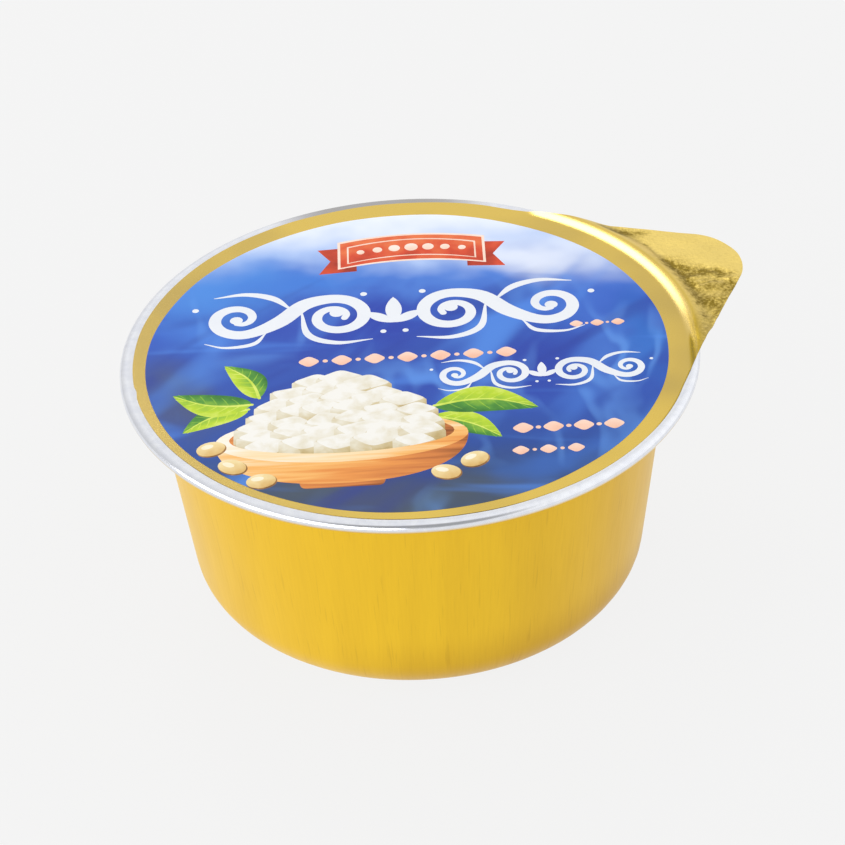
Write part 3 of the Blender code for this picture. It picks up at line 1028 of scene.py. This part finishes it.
def tofu_patches():
    """Heap of soft cubes, back to front."""
    chance = random.Random(11)
    patches = []
    for row in range(HEAP_ROWS):
        share = (row + 1) / HEAP_ROWS
        half = HEAP_HALF * math.sin(math.pi / 2 * share ** 0.75) - 2.2 * max(0.0, share - 0.7) / 0.3
        count = max(3, round(2 * half / (0.88 * CUBE)))
        for i in range(count):
            across = 2 * (i + 0.5) / count - 1
            x = BOWL_X + half * across + chance.uniform(-0.5, 0.5)
            y = HEAP_TOP - HEAP_PITCH * row - HEAP_SAG * across ** 2 * (HEAP_ROWS - row)
            size = CUBE * chance.uniform(0.82, 1.12)
            patches += cube_patches(x, y + chance.uniform(-0.5, 0.5), size, chance.uniform(0.35, 1.2))
    return patches


# Leaves

LEAF_TABLE = (  # foot x, y, tip x, y, width, bend
    (3.0, -15.5, 12.6, -21.2, 4.8, 1.0),
    (3.5, -13.0, 18.0, -14.6, 6.2, 1.8),
    (-22.5, -11.6, -31.6, -16.6, 4.4, -1.1),
    (-22.0, -10.5, -33.2, -7.4, 5.4, 1.3),
    (-21.0, -9.0, -26.0, -0.6, 4.6, -1.1),
)


def leaf_patches(x, y, tip_x, tip_y, width, bend):
    """A leaf with a bent midrib, a light and a dark half, and fine veins."""
    foot, tip = Vector((x, y)), Vector((tip_x, tip_y))
    along = tip - foot
    side = Vector((-along.y, along.x)).normalized()
    rib = lambda t: foot + along * t + side * bend * math.sin(math.pi * t)
    reach = lambda t: width / 2 * math.sin(math.pi * t ** 0.8) ** 0.85
    shares = [i / 28 for i in range(29)]
    spine = [rib(t) for t in shares]
    light = [rib(t) + side * reach(t) for t in shares]
    dark = [rib(t) - side * reach(t) for t in shares]
    patches = [
        Patch(LEAVES, 0, spine + light[::-1][1:-1], 0.42, 0.08, side),
        Patch(LEAVES, 0, spine + dark[::-1][1:-1], 0.92, 0.5, side),
    ]
    for i in range(1, 7):
        t = i / 7.5
        for way in (-1, 1):
            end = rib(min(1.0, t + 0.14)) + side * way * reach(min(1.0, t + 0.1)) * 0.78
            middle = (rib(t) + end) / 2 + side * way * 0.12
            vein = [(*rib(t), 0.2), (*middle, 0.16), (*end, 0.06)]
            patches += brush(LEAVES, 0, vein, 3, 0.12 if way > 0 else 0.5)
    midrib = [(*rib(t), 0.4 * (1 - t) + 0.1) for t in (0.0, 0.3, 0.6, 0.96)]
    return patches + brush(LEAVES, 0, midrib, 6, 0.04)


# Beans

BEAN_TABLE = (  # x, y, tilt
    (-27.6, -20.6, 0.4), (-24.6, -25.0, -0.5), (-20.6, -28.6, 0.2), (4.6, -28.6, -0.3), (8.6, -26.0, 0.6),
)


def bean_patches():
    patches = []
    for x, y, tilt in BEAN_TABLE:
        patches.append(Patch(BEANS, 0, ellipse(x + 0.12, y - 0.22, 2.12, 1.68, tilt), 0.95, 0.8))
        patches.append(Patch(BEANS, 0, ellipse(x, y, 2.05, 1.6, tilt), 0.72, 0.2, (-0.4, 1.0)))
        patches.append(Patch(BEANS, 0, ellipse(x - 0.5, y + 0.5, 0.9, 0.5, tilt, steps=20), 0.12, 0.0))
    return patches


WOOD_TONES = (
    (0.0, "EDE3D4"), (0.22, "EAD1A6"), (0.42, "E8AF64"), (0.62, "DB8D45"), (0.8, "C4753A"), (1.0, "864921"),
)
TOFU_TONES = ((0.0, "E4E2DC"), (0.25, "D6CFBA"), (0.5, "C6B68F"), (0.75, "AE9660"), (1.0, "8E7440"))
LEAF_TONES = ((0.0, "CEDC66"), (0.2, "B0CA2E"), (0.45, "84B037"), (0.7, "4C8A34"), (1.0, "28632C"))
BEAN_TONES = ((0.0, "EDE4CC"), (0.3, "E3CE99"), (0.72, "CFA965"), (0.9, "906637"), (1.0, "6C4C2A"))
RED_TONES = ((0.0, "DC7042"), (0.45, "CC492C"), (1.0, "902C1D"))
CREAM_TONES = ((0.0, "EDDBCE"), (1.0, "E1B397"))
PEACH_TONES = ((0.0, "EDCDBB"), (1.0, "E5AB8D"))
WHITE_TONES = ((0.0, "DCDFE4"), (1.0, "C9CFDC"))


def make_print(sizes):
    """Cuts the whole print and adds its pieces, each in its own inks."""
    patches = field_patches(sizes)
    for flourish in FLOURISHES:
        patches += flourish_patches(*flourish)
    patches += lozenge_patches() + ribbon_patches()
    for leaf in LEAF_TABLE:
        patches += leaf_patches(*leaf)
    patches += bowl_patches() + tofu_patches() + bowl_front_patches() + bean_patches()
    sheet = cut_print(patches)
    add_print("print_field", FIELD, sheet, [field_ink()])
    white = toned_ink("printed_white_ink", WHITE_TONES, 0.3, (0.12, 0.12))
    add_print("print_scrolls", SCROLLS, sheet, [white])
    add_print("print_lozenges", LOZENGES, sheet, [toned_ink("printed_peach_ink", PEACH_TONES)])
    reds = [toned_ink("printed_red_ink", RED_TONES), toned_ink("printed_cream_ink", CREAM_TONES)]
    add_print("print_ribbon", RIBBON, sheet, reds)
    add_print("print_leaves", LEAVES, sheet, [toned_ink("printed_leaf_ink", LEAF_TONES, 0.12, (0.5, 0.5))])
    add_print("print_bowl", BOWL, sheet, [toned_ink("printed_wood_ink", WOOD_TONES, 0.16, (0.06, 0.9))])
    add_print("print_tofu", TOFU, sheet, [toned_ink("printed_tofu_ink", TOFU_TONES, 0.16, (0.45, 0.45))])
    add_print("print_beans", BEANS, sheet, [toned_ink("printed_bean_ink", BEAN_TONES, 0.1, (0.6, 0.6))])


# Stage

CAMERA_ELEVATION = math.radians(35.55)
CAMERA_ROLL = math.radians(-2.99)
CAMERA_DISTANCE = 12.0  # in rim radii
CAMERA_LENS = 146.2
AIM_SIDE = 0.0328  # in rim radii
AIM_DROP = 0.308  # below the lid, in rim radii
FLOOR_GLOW = 0.955  # share of the floor's tone that it gives off itself, so that no shadow falls on it
SENSOR_WIDTH = 36.0
CLIPPING = (0.01, 20.0)
FLOOR_HALF = 3.0
DIM_WAY = (0.0, -0.743, 0.669)  # direction of the studio's dim patch
BRIGHT_WAY = (0.9, 0.1, 0.42)  # direction towards which the studio gets brighter
LIGHTS = (  # name, aim, direction from there, way of its long side, distance, size, watts
    (
        "strip_light", (0.0283, 0.0283, 0.0375), (-0.266, 0.548, 0.793), (0.442, -0.649, 0.619),
        0.6, (0.34, 0.165), 1.0,
    ),
    ("side_softbox", (0.0, 0.0, 0.02), (-0.75, -0.63, 0.13), (0.63, -0.75, 0.0), 0.9, (1.6, 0.8), 13.6),
)


def add_camera(sizes):
    radius = sizes.rim_radius
    aim = Vector((AIM_SIDE * radius, 0.0, sizes.height - AIM_DROP * radius))
    back = Vector((0.0, -math.cos(CAMERA_ELEVATION), math.sin(CAMERA_ELEVATION)))
    data = bpy.data.cameras.new("studio_camera")
    data.sensor_width = SENSOR_WIDTH
    data.lens = CAMERA_LENS
    data.clip_start, data.clip_end = CLIPPING
    camera = bpy.data.objects.new("studio_camera", data)
    bpy.context.scene.collection.objects.link(camera)
    turn = (-back).to_track_quat("-Z", "Y").to_matrix().to_4x4() @ Matrix.Rotation(CAMERA_ROLL, 4, "Z")
    camera.matrix_world = Matrix.Translation(aim + back * CAMERA_DISTANCE * radius) @ turn
    bpy.context.scene.camera = camera


def add_floor(colours):
    """Wide matt floor that glows evenly, so that its tone is the same all over."""
    solid = bmesh.new()
    bmesh.ops.create_grid(solid, x_segments=1, y_segments=1, size=FLOOR_HALF)
    mesh = bpy.data.meshes.new("floor")
    solid.to_mesh(mesh)
    solid.free()
    own = tuple(c * (1 - FLOOR_GLOW) for c in colours.floor[:3]) + (1.0,)
    material, tree, shader = new_material(
        "matt_paper_floor", Roughness=0.9, Specular_IOR_Level=0.0, Base_Color=own,
    )
    connect(tree, shader, {"Emission Color": tuple(colours.floor), "Emission Strength": FLOOR_GLOW})
    mesh.materials.append(material)
    floor = bpy.data.objects.new("floor", mesh)
    bpy.context.scene.collection.objects.link(floor)


def add_world():
    """White studio, brighter on the right and overhead, with a dimmer patch in front above the floor."""
    world = bpy.data.worlds.new("studio")
    world.use_nodes = True
    tree = world.node_tree
    node = partial(add_node, tree)
    direction = node("TexCoord", output="Generated")
    facing = node("VectorMath", {0: direction, 1: DIM_WAY}, "Value", operation="DOT_PRODUCT")
    dim = {"Value": facing, "From Min": 0.766, "From Max": 0.927, "To Min": 0.92, "To Max": 0.38}
    dim = node("MapRange", dim, interpolation_type="SMOOTHSTEP")
    sideways = node("VectorMath", {0: direction, 1: BRIGHT_WAY}, "Value", operation="DOT_PRODUCT")
    side = node("MapRange", {"Value": sideways, "From Min": -1.0, "To Min": 0.68, "To Max": 1.22})
    level = node("Math", {0: side, 1: dim}, operation="MULTIPLY")
    connect(tree, tree.nodes["Background"], {"Strength": level, "Color": (1.0, 1.0, 1.0, 1.0)})
    bpy.context.scene.world = world


def add_light(name, aim, towards, long_way, distance, size, watts):
    """Rectangular softbox, seen from its aim in a direction at a distance."""
    data = bpy.data.lights.new(name, "AREA")
    data.shape = "RECTANGLE"
    data.size, data.size_y = size
    data.energy = watts
    light = bpy.data.objects.new(name, data)
    bpy.context.scene.collection.objects.link(light)
    back = Vector(towards).normalized()
    up = back.cross(Vector(long_way)).normalized()
    turn = Matrix((up.cross(back), up, back)).transposed().to_4x4()
    light.matrix_world = Matrix.Translation(Vector(aim) + back * distance) @ turn


def keep_off(light_name, piece_name):
    """Keeps a light off one piece, as a flag beside a softbox does."""
    shaded = bpy.data.collections.new(light_name + "_flag")
    shaded.objects.link(bpy.data.objects[piece_name])
    shaded.collection_objects[0].light_linking.link_state = "EXCLUDE"
    bpy.data.objects[light_name].light_linking.receiver_collection = shaded


class TUB_OT_drawn_cup(bpy.types.Operator):
    """Adds the lacquered cup with its bare curled rim."""

    bl_idname = "tub.drawn_cup"
    bl_label = "Drawn Cup"

    def execute(self, context):
        make_cup(context.scene.tub_sizes, context.scene.tub_colours)
        return {"FINISHED"}


class TUB_OT_foil_lid(bpy.types.Operator):
    """Adds the gold foil lid with its crumpled pull tab."""

    bl_idname = "tub.foil_lid"
    bl_label = "Foil Lid"

    def execute(self, context):
        make_lid(context.scene.tub_sizes, context.scene.tub_colours)
        return {"FINISHED"}


class TUB_OT_lid_print(bpy.types.Operator):
    """Adds the lid's print: a blue field, flourishes, a ribbon and a bowl of tofu."""

    bl_idname = "tub.lid_print"
    bl_label = "Lid Print"

    def execute(self, context):
        make_print(context.scene.tub_sizes)
        return {"FINISHED"}


class TUB_OT_stage(bpy.types.Operator):
    """Adds the floor, the studio light and the camera."""

    bl_idname = "tub.stage"
    bl_label = "Studio Stage"

    def execute(self, context):
        context.scene.view_settings.view_transform = "Standard"
        add_floor(context.scene.tub_colours)
        add_world()
        for light in LIGHTS:
            add_light(*light)
        keep_off("strip_light", "drawn_cup")
        add_camera(context.scene.tub_sizes)
        return {"FINISHED"}


STEPS = (TUB_OT_drawn_cup, TUB_OT_foil_lid, TUB_OT_lid_print, TUB_OT_stage)


class TUB_PT_panel(bpy.types.Panel):
    """Lists the steps that build the tub."""

    bl_idname = "TUB_PT_panel"
    bl_label = "Foil Tub"
    bl_space_type = "VIEW_3D"
    bl_region_type = "UI"
    bl_category = "Foil Tub"

    def draw(self, context):
        for step in STEPS:
            self.layout.operator(step.bl_idname)


CLASSES = (TubSizes, FinishColours, *STEPS, TUB_PT_panel)


def register():
    for kind in CLASSES:
        bpy.utils.register_class(kind)
    bpy.types.Scene.tub_sizes = bpy.props.PointerProperty(type=TubSizes)
    bpy.types.Scene.tub_colours = bpy.props.PointerProperty(type=FinishColours)


def unregister():
    del bpy.types.Scene.tub_colours
    del bpy.types.Scene.tub_sizes
    for kind in reversed(CLASSES):
        bpy.utils.unregister_class(kind)


def main():
    register()
    for step in STEPS:
        space, name = step.bl_idname.split(".")
        getattr(getattr(bpy.ops, space), name)()


if __name__ == "__main__":
    main()
